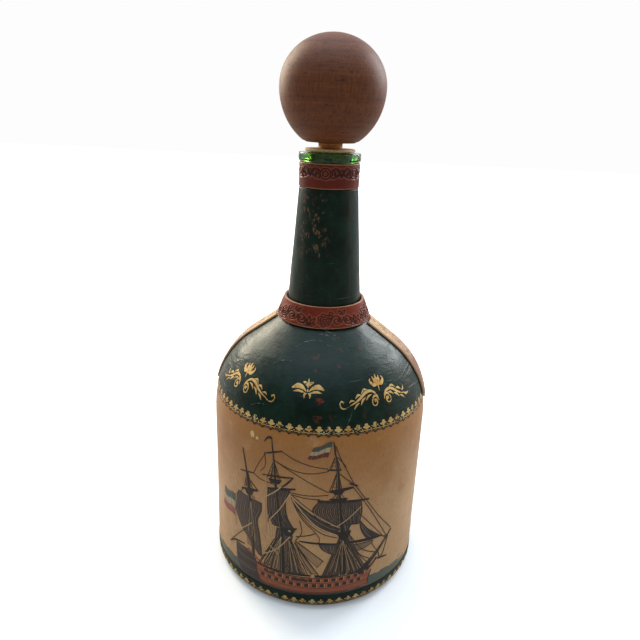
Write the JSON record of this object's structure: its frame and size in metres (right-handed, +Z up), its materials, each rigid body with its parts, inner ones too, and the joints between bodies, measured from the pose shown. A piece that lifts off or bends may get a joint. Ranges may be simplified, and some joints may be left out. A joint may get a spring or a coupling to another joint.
{
  "type": "leather covered decanter",
  "caption": "Round glass decanter wrapped in tooled green and brown leather, with a sailing-ship picture panel, gold ornament and a lift-out wooden ball stopper.",
  "frame": {"origin": "on the axis, in the middle of the flat underside of the base pad", "axes": "+Z up along the bottle's axis, -Y out of the picture panel, +X towards the right side strap"},
  "size_m": [0.11, 0.11, 0.2662],
  "materials": {
    "green_glass": "clear bottle-green pressed glass, glossy lip",
    "green_leather": "waxed dark green leather, scuffed, gold tooled",
    "tooled_leather": "embossed chestnut leather with scroll tooling",
    "picture_leather": "tan leather printed with a ship and varnished",
    "base_pad": "green felt",
    "cork": "natural cork",
    "stem_wood": "stained turned wood",
    "ball_wood": "turned walnut, satin varnish"
  },
  "bodies": {
    "bottle": {"glass_bottle": "green_glass", "base_pad": "base_pad", "foot_band": "green_leather", "shoulder_cover_front": "green_leather", "shoulder_cover_back": "green_leather", "neck_sleeve": "green_leather", "picture_panel_front": "picture_leather", "picture_panel_back": "picture_leather", "side_strap_left": "tooled_leather", "side_strap_right": "tooled_leather", "lip_band": "tooled_leather", "neck_collar": "tooled_leather"},
    "stopper": {"stopper_cork": "cork", "stopper_stem": "stem_wood", "stopper_ball": "ball_wood"}
  },
  "joints": [
    {"name": "stopper_lift", "type": "slide", "parent": "bottle", "child": "stopper", "axis": [0, 0, 1], "range_m": [0, 0.055]}
  ]
}
